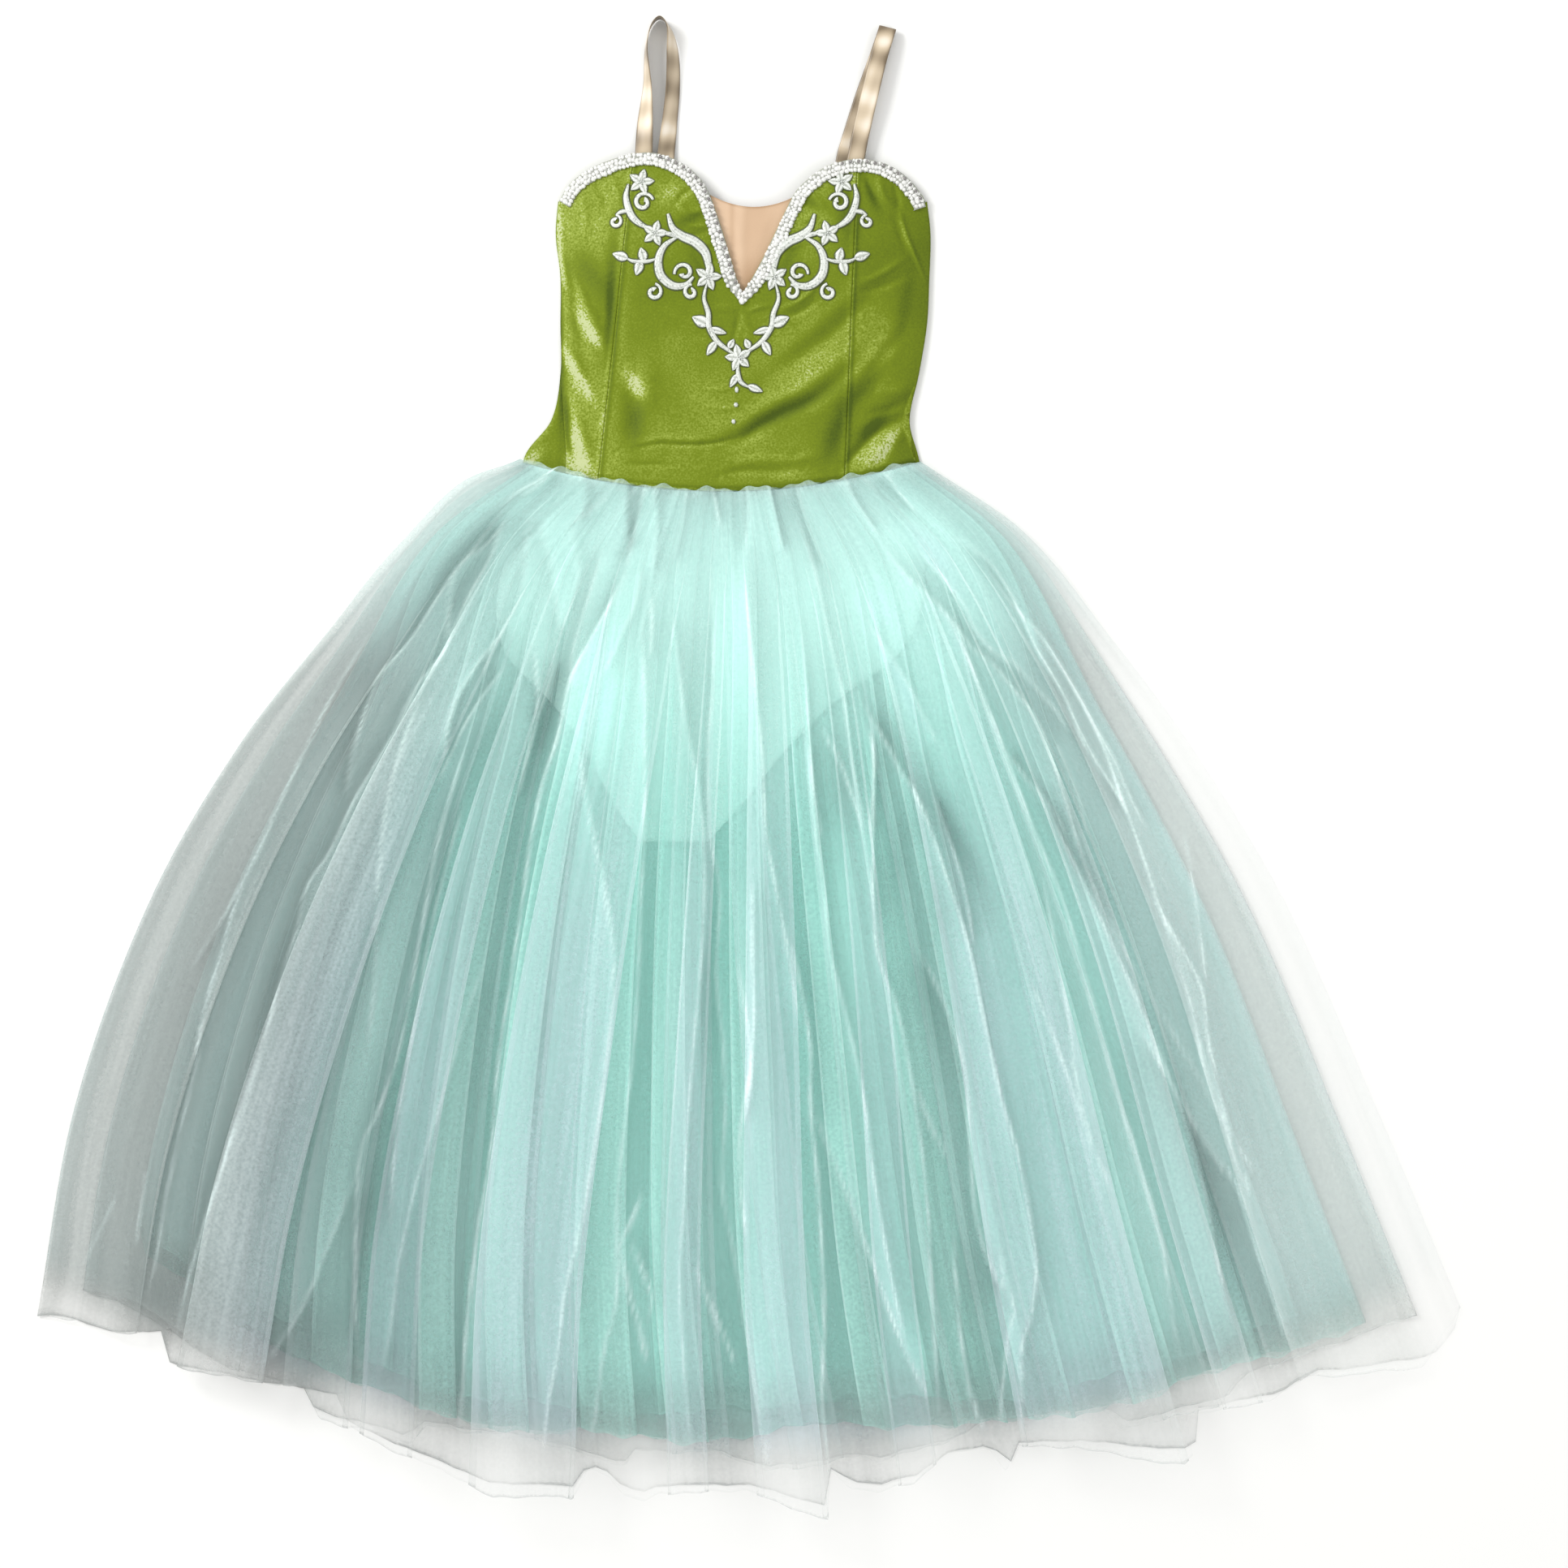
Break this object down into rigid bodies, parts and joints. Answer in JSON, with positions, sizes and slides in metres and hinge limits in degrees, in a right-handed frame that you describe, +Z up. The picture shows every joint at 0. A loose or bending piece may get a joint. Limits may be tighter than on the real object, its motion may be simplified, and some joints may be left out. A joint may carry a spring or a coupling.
{
  "type": "romantic tutu",
  "caption": "Long romantic tutu laid flat face up: green velvet bodice with sheer V insert, beaded edge, scrolled applique and satin straps, over a full mint tulle skirt with grey veils",
  "frame": {"origin": "the middle of the garment's box, on the surface that it lies on", "axes": "+X to the right as the laid garment is seen, +Y from the hem towards the straps, +Z up from the surface to the front of the garment"},
  "size_m": [1.23, 1.2862, 0.0511],
  "materials": {
    "mint_tulle": "soft matte nylon tulle, gathered",
    "grey_tulle": "sheer matte nylon tulle, gathered",
    "brief_lycra": "smooth stretch jersey",
    "green_velvet": "stretch velvet with a short pile",
    "nude_net": "fine power net",
    "beaded_braid": "white braid set with beads",
    "silver_embroidery": "raised silver-white embroidery",
    "nude_satin": "satin elastic"
  },
  "bodies": {
    "root": {"underskirt_back": "mint_tulle", "underskirt_front": "mint_tulle", "mint_skirt_back": "mint_tulle", "mint_skirt_front": "mint_tulle", "grey_veil_back": "grey_tulle", "grey_veil_front": "grey_tulle", "top_veil_back": "grey_tulle", "top_veil_front": "grey_tulle", "brief_back": "brief_lycra", "brief_front": "brief_lycra", "bodice_back": "green_velvet", "bodice_front_centre": "green_velvet", "bodice_front_left": "green_velvet", "bodice_front_right": "green_velvet", "neck_insert": "nude_net", "neck_braid": "beaded_braid", "scroll_applique": "silver_embroidery", "strap_left": "nude_satin", "strap_right": "nude_satin"}
  },
  "joints": []
}
